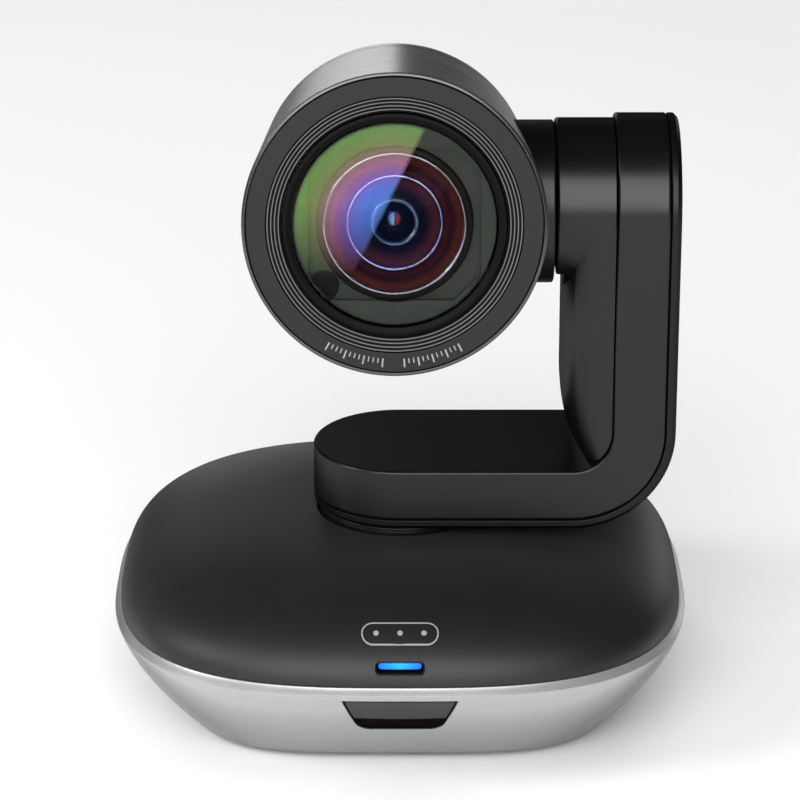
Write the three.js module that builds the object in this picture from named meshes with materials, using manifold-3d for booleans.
// Pan-tilt-zoom conference camera. Millimetres, +Z up, the lens looks towards -Y.
// The base stands still, the arm pans on it about Z, and the head tilts on the arm about X.
import * as THREE from "three";
import Module from "manifold-3d";
import { mergeVertices } from "three/addons/utils/BufferGeometryUtils.js";

const wasm = await Module();
wasm.setup();

// ---------- driving dimensions ----------
const GAP = 0.3;                      // clearance between neighbouring pieces

const BASE = {
  halfX: 65.5, halfY: 65.0,           // outline at the crease, its widest level
  footHalfX: 47.5, footHalfY: 47.6,   // outline at the bottom
  n: 2.9, footN: 3.9,                 // how square the outlines are, 2 being an ellipse
  bottomZ: 1.0, creaseZ: 23.6, rimZ: 25.0,
  rimInset: 1.3, wall: 2.2,
};
const COVER = { z: 25.3, height: 16.7, power: 3.4, wall: 2.0 };
const NECK = { r: 18.5, topZ: 43.2, bottomZ: 38.0, shaftR: 8.0, boreR: 6.0, shaftZ: 24.0 };
const ARM = {
  bottomZ: 43.5, topZ: 57.5,          // the foot of the L
  innerX: 47.7, outerX: 61.7,         // its upright
  halfY: 19.8, cornerR: 23.0,
  chamfer: 0.9, bevel: 0.5, skin: 2.4,
};
const TILT = { z: 115.0, rest: 9 };   // axis height, and degrees up in the rest pose
const BOSS = { r: 18.7, faceX: 34.5, flatZ: 102.4 };   // the pad is flat below flatZ
const COLUMN = { tipX: 36.3, halfY: 18.7 };
const HEAD = {
  x: -1.15, frontR: 33.0, rearR: 31.5,
  front: 35.0, seam: -28.0, rear: -40.5, rearRound: 6.0, wall: 1.8,
};
const HUB = { r: 18.2, faceX: 34.2, innerX: 19.0 };
const MOTOR_R = 22.2;                 // how far the small motors sit from the lens axis
const ZOOM_ANGLE = Math.PI * 0.75;
const FOCUS_ANGLE = -Math.PI * 0.75;
const MODULE = 0.5;                   // gear module
const PAN_DRIVE = { gear: 72, pinion: 12, z0: 33.0, z1: 36.0 };
const TILT_DRIVE = { gear: 48, pinion: 12, x0: 42.0, x1: 45.0 };
const LED = { z: 29.2, halfX: 5.05, halfZ: 1.0 };
const IR = {                          // window for the remote control
  topZ: 22.3, bottomZ: 12.0, halfTop: 12.7, halfBottom: 9.0, cornerR: 4.0,
};
const SLOT = { halfX: 27, z0: 6.8, z1: 20.2, depthY: 52.0 };      // recess for the sockets
const SOCKET = { z: 13.5, jackX: -17.5, proudY: 52.4 };
const SCREWS = [[37, 0], [0, 37], [-37, 0], [0, -37]];
const FEET = [[30, -30], [30, 30], [-30, 30], [-30, -30]];
const POSTS = [[34, -34], [34, 34], [-34, 34], [-34, -34]];
const TURNTABLE_SCREWS = [90, 210, 330].map((deg) => {
  const angle = (deg * Math.PI) / 180;
  return [12.5 * Math.cos(angle), 12.5 * Math.sin(angle)];
});

const panPinionAt = { x: -MODULE * (PAN_DRIVE.gear + PAN_DRIVE.pinion) / 2, y: 0 };
const tiltPinionAt = { y: 0, z: TILT.z - MODULE * (TILT_DRIVE.gear + TILT_DRIVE.pinion) / 2 };

// ---------- solids ----------
function toSolid(geometry) {
  const plain = geometry.clone();
  plain.deleteAttribute("normal");
  plain.deleteAttribute("uv");
  const welded = mergeVertices(plain, 1e-4);
  const index = welded.index.array;
  return new wasm.Manifold(new wasm.Mesh({
    numProp: 3,
    vertProperties: new Float32Array(welded.attributes.position.array),
    triVerts: new Uint32Array(index),
  }));
}

function toGeometry(solid) {
  const mesh = solid.getMesh();
  const geometry = new THREE.BufferGeometry();
  geometry.setAttribute("position", new THREE.BufferAttribute(new Float32Array(mesh.vertProperties), 3));
  geometry.setIndex(new THREE.BufferAttribute(new Uint32Array(mesh.triVerts), 1));
  return geometry;
}

const cut = (solid, ...tools) => tools.reduce((left, tool) => left.subtract(tool), solid);
const join = (solid, ...others) => others.reduce((sum, other) => sum.add(other), solid);

function box(x0, x1, y0, y1, z0, z1) {
  const geometry = new THREE.BoxGeometry(x1 - x0, y1 - y0, z1 - z0);
  return toSolid(geometry.translate((x0 + x1) / 2, (y0 + y1) / 2, (z0 + z1) / 2));
}

// A closed profile of [radius, height] pairs turned about Z. It starts and ends on the axis or closes.
function turned(profile, segments = 36) {
  const points = profile.map(([r, z]) => new THREE.Vector2(r, z));
  return toSolid(new THREE.LatheGeometry(points, segments).rotateX(Math.PI / 2));
}

const disc = (r, z0, z1, segments = 36) => turned([[0, z0], [r, z0], [r, z1], [0, z1]], segments);
const ring = (inner, outer, z0, z1, segments = 36) =>
  turned([[inner, z0], [outer, z0], [outer, z1], [inner, z1], [inner, z0]], segments);

const shift = (solid, x, y, z) => solid.translate([x, y, z]);
const alongX = (solid) => solid.rotate([0, 90, 0]);      // Z becomes X

// An outline in XY raised from z0 to z1.
function raised(outline, z0, z1) {
  const shape = new THREE.Shape(outline.map(([x, y]) => new THREE.Vector2(x, y)));
  const geometry = new THREE.ExtrudeGeometry(shape, { depth: z1 - z0, bevelEnabled: false });
  return toSolid(geometry.translate(0, 0, z0));
}

function superellipse(halfX, halfY, n, count = 48) {
  const outline = [];
  for (let i = 0; i < count; i++) {
    const angle = (2 * Math.PI * i) / count;
    const c = Math.cos(angle);
    const s = Math.sin(angle);
    outline.push([
      halfX * Math.sign(c) * Math.abs(c) ** (2 / n),
      halfY * Math.sign(s) * Math.abs(s) ** (2 / n),
    ]);
  }
  return outline;
}

// Skins a stack of loops with equal point counts and closes both ends.
function lofted(loops) {
  const count = loops[0].length;
  const positions = loops.flat(2);
  const index = [];
  for (let i = 0; i + 1 < loops.length; i++) {
    const a = i * count;
    const b = a + count;
    for (let j = 0; j < count; j++) {
      const k = (j + 1) % count;
      index.push(a + j, a + k, b + k, a + j, b + k, b + j);
    }
  }
  for (const [start, flip] of [[0, true], [(loops.length - 1) * count, false]]) {
    const centre = positions.length / 3;
    const middle = [0, 1, 2].map((axis) => {
      let total = 0;
      for (let j = 0; j < count; j++) total += positions[(start + j) * 3 + axis];
      return total / count;
    });
    positions.push(...middle);
    for (let j = 0; j < count; j++) {
      const k = (j + 1) % count;
      if (flip) index.push(centre, start + k, start + j);
      else index.push(centre, start + j, start + k);
    }
  }
  const geometry = new THREE.BufferGeometry();
  geometry.setAttribute("position", new THREE.BufferAttribute(new Float32Array(positions), 3));
  geometry.setIndex(index);
  return toSolid(geometry);
}

const level = (halfX, halfY, n, z) => superellipse(halfX, halfY, n).map(([x, y]) => [x, y, z]);

// A spur gear about Z with straight-flanked teeth. turn is in tooth pitches.
function gear(teeth, bore, z0, z1, turn) {
  const pitchR = (MODULE * teeth) / 2;
  const tipR = pitchR + 0.85 * MODULE;
  const rootR = pitchR - 1.2 * MODULE;
  const step = (2 * Math.PI) / teeth;
  const outline = [];
  for (let i = 0; i < teeth; i++) {
    const at = (i + turn) * step;
    outline.push([rootR, at - 0.3 * step], [tipR, at - 0.1 * step]);
    outline.push([tipR, at + 0.1 * step], [rootR, at + 0.3 * step]);
  }
  const wheel = raised(outline.map(([r, a]) => [r * Math.cos(a), r * Math.sin(a)]), z0, z1);
  return cut(wheel, disc(bore, z0 - 1, z1 + 1, 24));
}

// ---------- base ----------
// The bowl's outline at a share of the way from its bottom to the crease.
function shellLevel(share, inset) {
  const grow = 1 - (1 - share) ** 1.25;
  const halfX = BASE.footHalfX + (BASE.halfX - BASE.footHalfX) * grow - inset;
  const halfY = BASE.footHalfY + (BASE.halfY - BASE.footHalfY) * grow - inset;
  const n = BASE.footN + (BASE.n - BASE.footN) * share;
  return level(halfX, halfY, n, BASE.bottomZ + (BASE.creaseZ - BASE.bottomZ) * share);
}

function shellOuter(inset) {
  const shares = [0, 0.3, 0.65, 1];
  const rimInset = BASE.rimInset + inset;
  const rim = level(BASE.halfX - rimInset, BASE.halfY - rimInset, BASE.n, BASE.rimZ);
  return lofted([...shares.map((share) => shellLevel(share, inset)), rim]);
}

function baseShell() {
  const rimInner = BASE.rimInset + BASE.wall;
  const outer = shellOuter(0);
  const inside = lofted([
    shellLevel(0.2, BASE.wall),
    shellLevel(0.55, BASE.wall),
    shellLevel(1, BASE.wall + 0.6),
    level(BASE.halfX - rimInner, BASE.halfY - rimInner, BASE.n, BASE.rimZ + 1),
  ]);
  const floorHole = raised(superellipse(32, 32, 4, 48), 0, 8);
  const plateSeat = raised(superellipse(42.3, 42.3, 4.5, 48), 0, 3.4);
  const bosses = SCREWS.map(([x, y]) => shift(disc(3.2, 4, 8.2, 16), x, y, 0));
  const posts = POSTS.map(([x, y]) => shift(disc(2.6, 4, 11.7, 16), x, y, 0));
  const bores = SCREWS.map(([x, y]) => shift(disc(1.5, 0, 7.6, 12), x, y, 0));
  const socketHole = box(-SLOT.halfX, SLOT.halfX, 45, 70, SLOT.z0, SLOT.z1);
  return cut(
    join(cut(outer, inside, floorHole, plateSeat), ...bosses, ...posts),
    ...bores, socketHole, irOpening(0),
  );
}

// The remote control window: straight along the top, with slanting sides and round lower corners.
function irOpening(inset) {
  const lean = Math.atan2(IR.halfTop - IR.halfBottom, IR.topZ - IR.bottomZ);
  const r = IR.cornerR - inset;
  const centreX = IR.halfBottom - IR.cornerR / Math.cos(lean) + IR.cornerR * Math.tan(lean);
  const topX = IR.halfTop - 1.2 * inset;
  const outline = [[topX, IR.topZ - inset], [-topX, IR.topZ - inset]];
  for (const side of [-1, 1]) {
    for (let i = 0; i <= 6; i++) {
      const sweep = side < 0 ? i / 6 : 1 - i / 6;
      const angle = lean + (Math.PI / 2 - lean) * sweep;
      const x = centreX + r * Math.cos(angle);
      outline.push([side * x, IR.bottomZ + IR.cornerR - r * Math.sin(angle)]);
    }
  }
  return raised(outline, 50, 70).rotate([90, 0, 0]);
}

function irWindow() {
  return cut(irOpening(0.2).intersect(shellOuter(0.1)), shellOuter(1.9));
}

function irReceiver() {
  return join(box(-4, 4, -52.0, -49, 14.2, 20.5), shift(disc(2.4, 14.2, 20.5, 16), 0, -52.3, 0));
}

const coverHeight = (rho) => COVER.z + COVER.height * (1 - rho ** COVER.power) ** 0.5;

function dome(inset, drop) {
  const halfX = BASE.halfX - BASE.rimInset - inset;
  const halfY = BASE.halfY - BASE.rimInset - inset;
  const loops = [level(halfX, halfY, BASE.n, COVER.z - drop)];
  for (const rho of [1, 0.99, 0.95, 0.87, 0.74, 0.55, 0.3]) {
    const n = 2 + (BASE.n - 2) * rho;
    loops.push(level(halfX * rho, halfY * rho, n, coverHeight(rho) + 0.4 - drop));
  }
  return lofted(loops);
}

function ledOutline(halfX, halfZ) {
  const outline = [];
  for (let i = 0; i < 20; i++) {
    const angle = (2 * Math.PI * (i + 0.5)) / 20;
    const side = Math.sign(Math.cos(angle)) * (halfX - halfZ);
    outline.push([side + halfZ * Math.cos(angle), halfZ * Math.sin(angle)]);
  }
  return outline;
}

// The lamp's slot runs level through the front of the cover.
const ledSlot = (gap, y0, y1) =>
  shift(raised(ledOutline(LED.halfX + gap, LED.halfZ + gap), y0, y1).rotate([90, 0, 0]), 0, 0, LED.z);

function baseCover() {
  const hole = disc(NECK.r + 0.5, 20, 60);
  return cut(dome(0, 0), dome(COVER.wall, COVER.wall), hole, ledSlot(GAP, 40, 70));
}

function ledLightPipe() {
  return ledSlot(0, 58, 70).intersect(dome(0.1, 0.1));
}

function basePlate() {
  const plate = raised(superellipse(42, 42, 4.5, 48), BASE.bottomZ, 3.1);
  const holes = SCREWS.map(([x, y]) => join(
    shift(disc(2.9, 0, 2.2, 20), x, y, 0),
    shift(disc(1.6, 0, 6, 16), x, y, 0),
  ));
  const seats = FEET.map(([x, y]) => shift(disc(6.3, 0, 1.7, 20), x, y, 0));
  return cut(plate, ...holes, ...seats, disc(5.8, 0, 6, 32));
}

function rubberFoot([x, y]) {
  return shift(turned([[0, 0], [5.5, 0], [6, 0.5], [6, 1.4], [0, 1.4]], 20), x, y, 0);
}

function baseScrew([x, y]) {
  const profile = [[0, 1.2], [2.3, 1.2], [2.6, 1.5], [2.6, 1.9], [1.2, 1.9], [1.2, 7.2], [0, 7.2]];
  return shift(turned(profile, 12), x, y, 0);
}

function tripodBushing() {
  return turned([
    [0, 9], [3.1, 9], [3.1, 1.6], [3.5, 1.2], [5.5, 1.2], [5.5, 10.5], [0, 10.5],
  ], 24);
}

const ballastPlate = () => cut(raised(superellipse(31, 31, 4, 40), 5.6, 9.4), disc(5.9, 0, 12, 24));

function mainBoard() {
  const notch = box(-SLOT.halfX - 1, SLOT.halfX + 1, 38, 60, 10, 16);
  const outline = raised(superellipse(46, 46, 3.6, 48), 12, 13.6);
  return cut(outline, notch, ...POSTS.map(([x, y]) => shift(disc(1.2, 10, 16, 12), x, y, 0)));
}

const processorShield = () => box(12, 34, -26, -4, 13.9, 16.6);

// A round bar along Y at the power jack.
const jackBar = (r, y0, y1, segments = 24) =>
  shift(disc(r, y0, y1, segments).rotate([-90, 0, 0]), SOCKET.jackX, 0, SOCKET.z);

function connectorPanel() {
  const halfX = SLOT.halfX - GAP;
  const tray = box(-halfX, halfX, SLOT.depthY - 2, 70, SLOT.z0 + GAP, SLOT.z1 - GAP);
  const innerX = SLOT.halfX - 1.6;
  const pocket = box(-innerX, innerX, SLOT.depthY, 72, SLOT.z0 + 1.4, SLOT.z1 - 1.4);
  const usbHole = box(-6.3, 6.3, 45, 60, 8.2, 18.9);
  const lockHole = box(15.2, 20.8, 45, 60, 9.0, 18.0);
  return cut(tray.intersect(shellOuter(0.5)), pocket, usbHole, jackBar(3.6, 45, 60), lockHole);
}

function powerJack() {
  const housing = box(-22, -13, 39, SLOT.depthY - 2 - GAP, 9, 18);
  const block = join(housing, jackBar(3.3, 45, SOCKET.proudY));
  const pin = jackBar(1.0, 42, SLOT.depthY - 0.6, 16);
  return join(cut(block, jackBar(2.8, 43, 60)), pin);
}

function usbSocket() {
  const sleeve = box(-6, 6, 38, SOCKET.proudY, 8.5, 18.6);
  const mouth = box(-4.25, 4.25, 42, 60, 9.6, 17.4);
  const tongue = box(-2.8, 2.8, 40, SLOT.depthY - 0.8, 11.9, 15.1);
  return join(cut(sleeve, mouth), tongue);
}

function lockSlotPlate() {
  const plate = box(15.5, 20.5, SLOT.depthY - 3, SLOT.depthY - 0.6, 9.3, 17.7);
  return cut(plate, box(16.5, 19.5, 45, 60, 10.0, 17.0));
}

function panBracket() {
  const plate = raised(superellipse(31, 19, 3, 40), 30.3, 31.8);
  const seat = ring(10.8, 12.2, 25.5, 31, 32);
  const motorHole = shift(disc(3.8, 25, 35, 20), panPinionAt.x, 0, 0);
  return cut(join(plate, seat), disc(9.5, 20, 40, 32), motorHole);
}

function panMotor() {
  return shift(join(disc(8.2, 18.5, 30, 32), disc(1.0, 29, 36.4, 12)), panPinionAt.x, 0, 0);
}

const panBearing = () => ring(NECK.shaftR + GAP, 10.5, 25.8, 30.0, 32);

// ---------- arm ----------
// The arm is a band bent into an L: flat along +X, a quarter bend, then up to the tilt axis.
const ARM_DEPTH = ARM.topZ - ARM.bottomZ;
const BAND_FLAT = ARM.outerX - ARM.cornerR;
const BAND_BEND = (Math.PI / 2) * ARM.cornerR;
const BAND_TOP = BAND_FLAT + BAND_BEND + (TILT.z - ARM.bottomZ - ARM.cornerR);

// s runs along the band from the pan axis, v goes across it, d is the depth below its outer face.
function bandPoint(s, v, d) {
  if (s <= BAND_FLAT) return [s, v, ARM.bottomZ + d];
  const r = ARM.cornerR - d;
  const centreZ = ARM.bottomZ + ARM.cornerR;
  if (s <= BAND_FLAT + BAND_BEND) {
    const angle = (s - BAND_FLAT) / ARM.cornerR;
    return [BAND_FLAT + r * Math.sin(angle), v, centreZ - r * Math.cos(angle)];
  }
  return [ARM.outerX - d, v, centreZ + (s - BAND_FLAT - BAND_BEND)];
}

// A stretch of the band with half-round ends. Layers are [depth, inset] pairs, outer face first.
function band(layers, from = 0, to = BAND_TOP, halfWidth = ARM.halfY) {
  const caps = 8;
  const bends = 8;
  const capAngle = (i) => (Math.PI / 2) * (i / caps);
  const stations = [];
  for (let i = 1; i <= caps; i++) stations.push({ end: from, sign: -1, angle: capAngle(i) });
  for (let i = 0; i <= bends; i++) stations.push({ s: BAND_FLAT + BAND_BEND * (i / bends) });
  for (let i = caps; i >= 1; i--) stations.push({ end: to, sign: 1, angle: capAngle(i) });
  const loops = layers.map(([depth, inset]) => {
    const r = halfWidth - inset;
    const side = stations.map(({ s, end, sign, angle }) => (s === undefined
      ? [end + sign * r * Math.cos(angle), r * Math.sin(angle)]
      : [s, r]));
    return [
      bandPoint(from - r, 0, depth),
      ...side.map(([s, v]) => bandPoint(s, -v, depth)),
      bandPoint(to + r, 0, depth),
      ...side.reverse().map(([s, v]) => bandPoint(s, v, depth)),
    ];
  });
  const count = loops[0].length;
  const positions = loops.flat(2);
  const index = [];
  for (let i = 0; i + 1 < loops.length; i++) {
    for (let j = 0; j < count; j++) {
      const k = (j + 1) % count;
      const a = i * count;
      const b = a + count;
      index.push(a + j, a + k, b + k, a + j, b + k, b + j);
    }
  }
  const closeFace = (start, flip) => {
    const add = (a, b, c) => {
      const [second, third] = flip ? [c, b] : [b, c];
      index.push(start + a, start + second, start + third);
    };
    for (let j = 0; j < count / 2; j++) {
      const a = j;
      const b = j + 1;
      const c = count - j - 1;
      const d = (count - j) % count;
      if (d !== a) add(a, b, d);
      if (b !== c) add(b, c, d);
    }
  };
  closeFace(0, true);
  closeFace((loops.length - 1) * count, false);
  const geometry = new THREE.BufferGeometry();
  geometry.setAttribute("position", new THREE.BufferAttribute(new Float32Array(positions), 3));
  geometry.setIndex(index);
  return toSolid(geometry);
}

function armOuterCover() {
  const skin = band([[0, ARM.chamfer], [ARM.skin - 0.4, 0.4], [ARM.skin - 0.2, 0.3]]);
  const holes = TURNTABLE_SCREWS.map(([x, y]) => shift(disc(1.6, 40, 50, 12), x, y, 0));
  return cut(skin, disc(NECK.boreR, 40, 50, 24), ...holes);
}

function armFrame() {
  const body = band([
    [ARM.skin, 0.3], [ARM.skin + 0.4, 0], [ARM_DEPTH - ARM.bevel, 0], [ARM_DEPTH, ARM.bevel],
  ]);
  const hollow = band([[ARM.skin - 1, 3], [ARM_DEPTH - 2.2, 3]]);
  const posts = TURNTABLE_SCREWS.map(([x, y]) => shift(disc(2.8, 46, 56, 12), x, y, 0).intersect(body));
  const bores = TURNTABLE_SCREWS.map(([x, y]) => shift(disc(1.2, 40, 54.5, 12), x, y, 0));
  const motorHole = shift(alongX(disc(3.8, 40, 55, 24)), 0, 0, tiltPinionAt.z);
  const shaftHole = shift(alongX(disc(6, 40, 55, 24)), 0, 0, TILT.z);
  return cut(join(cut(body, hollow), ...posts), ...bores, motorHole, shaftHole);
}

const turntableScrew = ([x, y]) => shift(turned(
  [[0, 38.8], [1.9, 38.8], [1.9, 40.2], [0.9, 40.2], [0.9, 53.5], [0, 53.5]], 12), x, y, 0);

function turntable() {
  const body = turned([
    [NECK.boreR, NECK.shaftZ], [NECK.shaftR, NECK.shaftZ], [NECK.shaftR, NECK.bottomZ],
    [NECK.r, NECK.bottomZ], [NECK.r, NECK.topZ], [NECK.boreR, NECK.topZ], [NECK.boreR, NECK.shaftZ],
  ]);
  const holes = TURNTABLE_SCREWS.map(([x, y]) => join(
    shift(disc(2.2, 30, 40.5, 12), x, y, 0),
    shift(disc(1.2, 30, 50, 12), x, y, 0),
  ));
  return cut(body, ...holes);
}

const panGear = () => gear(PAN_DRIVE.gear, NECK.shaftR + GAP, PAN_DRIVE.z0, PAN_DRIVE.z1, 0);

function panPinion() {
  return shift(gear(PAN_DRIVE.pinion, 1.3, PAN_DRIVE.z0, PAN_DRIVE.z1, 0.5), panPinionAt.x, 0, 0);
}

// A half-round column on the inner side of the upright, as [height, reach, width] shares.
function columnSolid(inset) {
  const back = ARM.innerX - GAP;
  const loops = [];
  for (const [z, reach, width] of [
    [57.2, 0.46, 0.62], [59.5, 0.62, 0.78], [62.5, 0.78, 0.89],
    [66, 0.9, 0.96], [70, 0.97, 0.99], [75, 1, 1], [TILT.z, 1, 1],
  ]) {
    const loop = [];
    const depth = (back - COLUMN.tipX) * reach - inset;
    const half = COLUMN.halfY * width - inset;
    for (let i = 0; i <= 16; i++) {
      const angle = Math.PI / 2 + Math.PI * (i / 16);
      loop.push([back + depth * Math.cos(angle), half * Math.sin(angle), z]);
    }
    loops.push(loop);
  }
  return lofted(loops);
}

// Solids drawn along X at the height of the tilt axis.
const onTiltAxis = (solid) => shift(alongX(solid), 0, 0, TILT.z);

function armInnerCover() {
  const boss = onTiltAxis(turned([
    [0, BOSS.faceX], [BOSS.r - 0.5, BOSS.faceX], [BOSS.r, BOSS.faceX + 0.5],
    [BOSS.r, ARM.innerX - GAP], [0, ARM.innerX - GAP],
  ]));
  const padEnd = box(BOSS.faceX - 1, COLUMN.tipX, -30, 30, 80, BOSS.flatZ);
  const outside = join(cut(boss, padEnd), columnSolid(0));
  const cavity = onTiltAxis(disc(BOSS.r - 2, BOSS.faceX + 2.2, 60));
  const hollow = join(columnSolid(2), shift(columnSolid(2), 1, 0, 0));
  const seat = onTiltAxis(ring(8.3, 10, BOSS.faceX + 1, BOSS.faceX + 6.2, 32));
  const shaftHole = onTiltAxis(disc(5, 20, 60, 32));
  const footClear = band([[ARM_DEPTH - 6, 0], [ARM_DEPTH + GAP, 0]], 0, BAND_TOP, ARM.halfY + 2);
  return cut(join(cut(outside, cavity, hollow), seat), shaftHole, footClear);
}

const tiltBearing = () => onTiltAxis(ring(4.3, 8.0, BOSS.faceX + 2.6, BOSS.faceX + 6.0, 32));

function tiltMotor() {
  const motor = join(alongX(disc(7.6, 50.2, 58.8, 32)), alongX(disc(1.0, 41.6, 51, 16)));
  return shift(motor, 0, 0, tiltPinionAt.z);
}

function tiltPinion() {
  const wheel = gear(TILT_DRIVE.pinion, 1.3, TILT_DRIVE.x0, TILT_DRIVE.x1, 0.5);
  return shift(alongX(wheel), 0, 0, tiltPinionAt.z);
}

function armRibbonCable() {
  const run = band([[3.6, 0], [4.2, 0]], 8, BAND_TOP - 28, 3);
  return join(run, box(3.2, 3.8, -3, 3, 14.2, 47.7), box(3.2, 8, -3, 3, 47.1, 47.7));
}

// ---------- head ----------
// Head pieces are drawn about Z with +Z out of the lens, then laid along the lens axis.
const aim = (solid) => shift(solid.rotate([90, 0, 0]), HEAD.x, 0, 0);
const tilted = (solid) => shift(solid.rotate([-TILT.rest, 0, 0]), 0, 0, TILT.z);
const inHead = (solid) => tilted(aim(solid));

const hubHole = (x0) => alongX(disc(HUB.r + GAP, x0, 40));

function taperR(u) {
  return HEAD.rearR + (HEAD.frontR - HEAD.rearR) * ((u - HEAD.rear) / (HEAD.front - HEAD.rear));
}

function barrelShell() {
  const seam = HEAD.seam + GAP / 2;
  const seamR = taperR(seam);
  const shell = turned([
    [seamR - HEAD.wall, seam], [seamR, seam], [HEAD.frontR, HEAD.front - 0.5],
    [HEAD.frontR - 0.5, HEAD.front], [HEAD.frontR - 0.8, HEAD.front], [HEAD.frontR - 0.8, HEAD.front - 3],
    [HEAD.frontR - HEAD.wall, HEAD.front - 3], [seamR - HEAD.wall, seam],
  ], 48);
  return tilted(cut(aim(shell), hubHole(10)));
}

function barrelRearCap() {
  const seam = HEAD.seam - GAP / 2;
  const seamR = taperR(seam);
  const rearR = taperR(HEAD.rear);
  const r = HEAD.rearRound;
  const profile = [[0, HEAD.rear]];
  for (let i = 0; i <= 4; i++) {
    const angle = (Math.PI / 2) * (i / 4);
    profile.push([rearR - r + r * Math.sin(angle), HEAD.rear + r - r * Math.cos(angle)]);
  }
  profile.push([seamR, seam], [seamR - HEAD.wall, seam], [rearR - HEAD.wall, HEAD.rear + r]);
  profile.push([rearR - 6, HEAD.rear + 2], [0, HEAD.rear + 2]);
  return tilted(cut(aim(turned(profile, 48)), hubHole(10)));
}

const frontBezel = () => inHead(turned([
  [27.7, 32.4], [31.9, 32.4], [31.9, 35.0], [31.7, 35.2], [27.9, 35.2], [27.7, 35.0], [27.7, 32.4]]));

function grooveRing() {
  const profile = [[24.4, 30.4], [27.4, 30.4]];
  for (let i = 0; i < 4; i++) {
    const r = 27.4 - 0.75 * i;
    const u = 34.9 - 0.28 * i;
    profile.push([r, u], [r - 0.38, u], [r - 0.38, u - 0.5], [r - 0.75, u - 0.5]);
  }
  profile.push([24.4, 30.4]);
  return inHead(turned(profile));
}

const windowRing = () => inHead(ring(22.3, 24.1, 31.0, 34.8));
const frontGlass = () => inHead(disc(22.0, 33.3, 34.4));

function innerBaffle() {
  const plate = cut(disc(22.0, 30.0, 33.0), disc(17.4, 20, 40));
  const pocket = raised(superellipse(19.0, 16.8, 7, 40), 31.8, 34);
  return inHead(cut(plate, pocket));
}

const lensBarrel = () => inHead(turned([
  [13.2, -8], [17.0, -8], [17.0, 32.4], [15.9, 32.4], [15.9, 28.0],
  [12.0, 28.0], [12.0, -5], [13.2, -5], [13.2, -8]]));
const lensTrimRing = () => inHead(turned([
  [14.0, 28.3], [15.5, 28.3], [15.5, 32.3], [14.9, 32.5],
  [14.3, 30.2], [14.0, 30.2], [14.0, 28.3]]));
const frontLensElement = () => inHead(turned([
  [0, 25.5], [11.6, 26.5], [11.6, 28.2], [13.7, 28.4],
  [13.7, 29.6], [10, 31.2], [5, 32.3], [0, 32.7]]));
const zoomLensGroup = () => inHead(turned([
  [0, 14.2], [7, 14.8], [9, 12], [11.7, 12], [11.7, 18], [9, 18], [7, 16.6], [0, 17.4]], 24));
const focusLensGroup = () => inHead(turned([
  [0, 0.4], [6, 0.8], [8, -1], [11.7, -1], [11.7, 4], [8, 4], [6, 2.8], [0, 3.4]], 24));

// The plate that carries the lens barrel and the two small motors inside the head.
function headChassis() {
  const plate = ring(17.3, 29.6, 12.4, 14.0);
  const holes = [ZOOM_ANGLE, FOCUS_ANGLE].map((angle) =>
    shift(disc(1.2, 10, 16, 12), MOTOR_R * Math.cos(angle), MOTOR_R * Math.sin(angle), 0));
  return tilted(cut(aim(cut(plate, ...holes)), hubHole(HUB.innerX - 2)));
}

function smallMotor(angle, u0, u1) {
  const motor = join(disc(4.4, u0, u1, 20), disc(0.8, u1 - 1, u1 + 9, 10));
  return inHead(shift(motor, MOTOR_R * Math.cos(angle), MOTOR_R * Math.sin(angle), 0));
}

const sensorBoard = () => inHead(raised(superellipse(19, 16, 8, 32), -13.6, -12.2));
const imageSensor = () => inHead(box(-7, 7, -5.5, 5.5, -11.9, -10.2));

function tiltHub() {
  const hub = alongX(turned([
    [0, HUB.innerX], [HUB.r, HUB.innerX], [HUB.r, HUB.faceX - 0.4],
    [HUB.r - 0.4, HUB.faceX], [0, HUB.faceX]]));
  const lensClear = aim(disc(MOTOR_R, -45, 45));
  return tilted(cut(hub, lensClear, alongX(disc(4.3, 10, 50, 24))));
}

const tiltShaft = () => tilted(alongX(turned([
  [2.2, 21.5], [4.0, 21.5], [4.0, 46.5], [2.2, 46.5], [2.2, 21.5]], 24)));

// The gear is cut so that its teeth are in mesh with the pinion's once the head is at its rest tilt.
function tiltGear() {
  const restPitches = (TILT.rest * TILT_DRIVE.gear) / 360;
  return tilted(alongX(gear(TILT_DRIVE.gear, 4.3, TILT_DRIVE.x0, TILT_DRIVE.x1, restPitches)));
}

// ---------- assembly ----------
const object = new THREE.Group();
object.name = "ptz_camera";

function add(name, solid, colour, metalness = 0, roughness = 0.5) {
  const material = new THREE.MeshStandardMaterial({ color: colour, metalness, roughness });
  const mesh = new THREE.Mesh(toGeometry(solid), material);
  mesh.name = name;
  object.add(mesh);
}

const SILVER = 0xc4c6c8;
const CHARCOAL = 0x35363a;
const BLACK = 0x131416;
const STEEL = 0x9a9ca0;
const BRASS = 0xb5904a;
const BOARD = 0x1d5a3a;

add("base_shell", baseShell(), SILVER, 0.4, 0.4);
add("base_cover", baseCover(), CHARCOAL);
add("base_plate", basePlate(), 0x2a2b2e);
add("ballast_plate", ballastPlate(), STEEL, 0.9);
FEET.forEach((point, i) => add(`rubber_foot_${i + 1}`, rubberFoot(point), BLACK, 0, 0.9));
add("tripod_bushing", tripodBushing(), BRASS, 1, 0.35);
SCREWS.forEach((point, i) => add(`base_screw_${i + 1}`, baseScrew(point), STEEL, 1, 0.35));
add("led_light_pipe", ledLightPipe(), 0x1a8fe0, 0, 0.2);
add("ir_window", irWindow(), 0x1a0b10, 0, 0.1);
add("ir_receiver", irReceiver(), BLACK);
add("main_board", mainBoard(), BOARD);
add("processor_shield", processorShield(), STEEL, 0.9, 0.3);
add("connector_panel", connectorPanel(), BLACK);
add("power_jack", powerJack(), 0x202124);
add("usb_socket", usbSocket(), STEEL, 0.9, 0.3);
add("lock_slot_plate", lockSlotPlate(), STEEL, 0.9, 0.4);
add("pan_bracket", panBracket(), STEEL, 0.9, 0.4);
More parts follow.
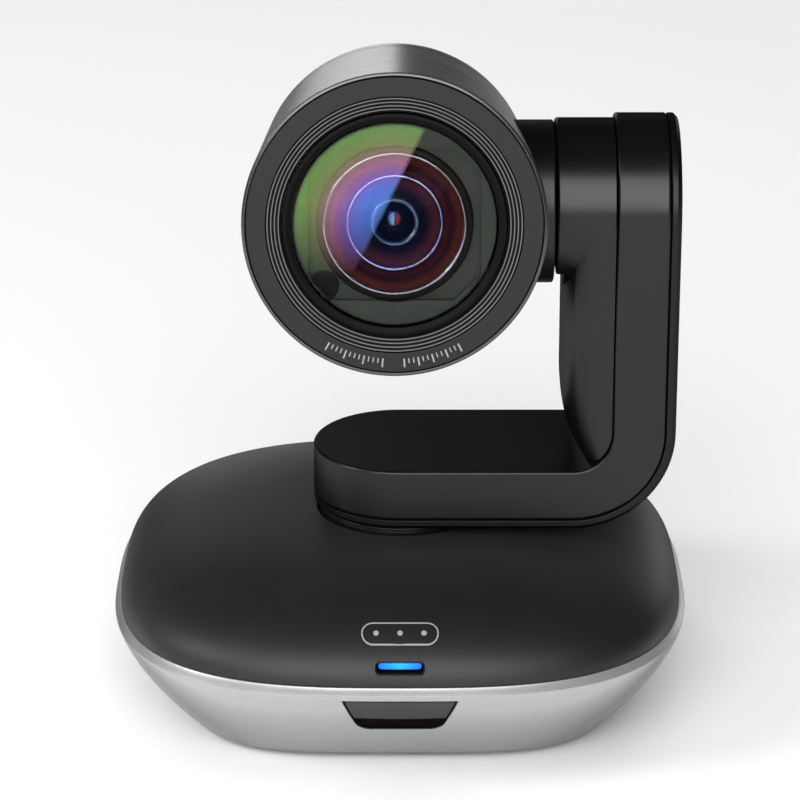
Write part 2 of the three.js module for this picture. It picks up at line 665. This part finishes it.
add("pan_motor", panMotor(), 0x6c6e72, 0.8, 0.4);
add("pan_bearing", panBearing(), STEEL, 1, 0.2);
add("pan_pinion", panPinion(), BRASS, 1, 0.3);

add("turntable", turntable(), BLACK);
TURNTABLE_SCREWS.forEach((point, i) => {
  add(`turntable_screw_${i + 1}`, turntableScrew(point), STEEL, 1, 0.3);
});
add("pan_gear", panGear(), 0xe6e2d6);
add("arm_frame", armFrame(), BLACK);
add("arm_outer_cover", armOuterCover(), BLACK);
add("arm_inner_cover", armInnerCover(), BLACK);
add("tilt_motor", tiltMotor(), 0x6c6e72, 0.8, 0.4);
add("tilt_bearing", tiltBearing(), STEEL, 1, 0.2);
add("tilt_pinion", tiltPinion(), BRASS, 1, 0.3);
add("arm_ribbon_cable", armRibbonCable(), 0xb8792c);

add("barrel_shell", barrelShell(), CHARCOAL, 0.4, 0.3);
add("barrel_rear_cap", barrelRearCap(), CHARCOAL, 0.4, 0.3);
add("front_bezel", frontBezel(), 0x45464a);
add("groove_ring", grooveRing(), 0x26272a);
add("window_ring", windowRing(), BLACK);
add("front_glass", frontGlass(), 0x8aa4b0, 0, 0.05);
add("inner_baffle", innerBaffle(), BLACK);
add("lens_barrel", lensBarrel(), BLACK);
add("lens_trim_ring", lensTrimRing(), SILVER, 0.9, 0.25);
add("front_lens_element", frontLensElement(), 0x3f3a78, 0, 0.05);
add("zoom_lens_group", zoomLensGroup(), 0x2a2a33);
add("focus_lens_group", focusLensGroup(), 0x2a2a33);
add("head_chassis", headChassis(), 0x3a3c40, 0.6, 0.5);
add("zoom_motor", smallMotor(ZOOM_ANGLE, -2, 12), STEEL, 0.9, 0.3);
add("focus_motor", smallMotor(FOCUS_ANGLE, -2, 12), STEEL, 0.9, 0.3);
add("sensor_board", sensorBoard(), BOARD);
add("image_sensor", imageSensor(), 0x3c3f52, 0, 0.15);
add("tilt_hub", tiltHub(), BLACK);
add("tilt_shaft", tiltShaft(), STEEL, 1, 0.3);
add("tilt_gear", tiltGear(), 0xe6e2d6);

export default object;
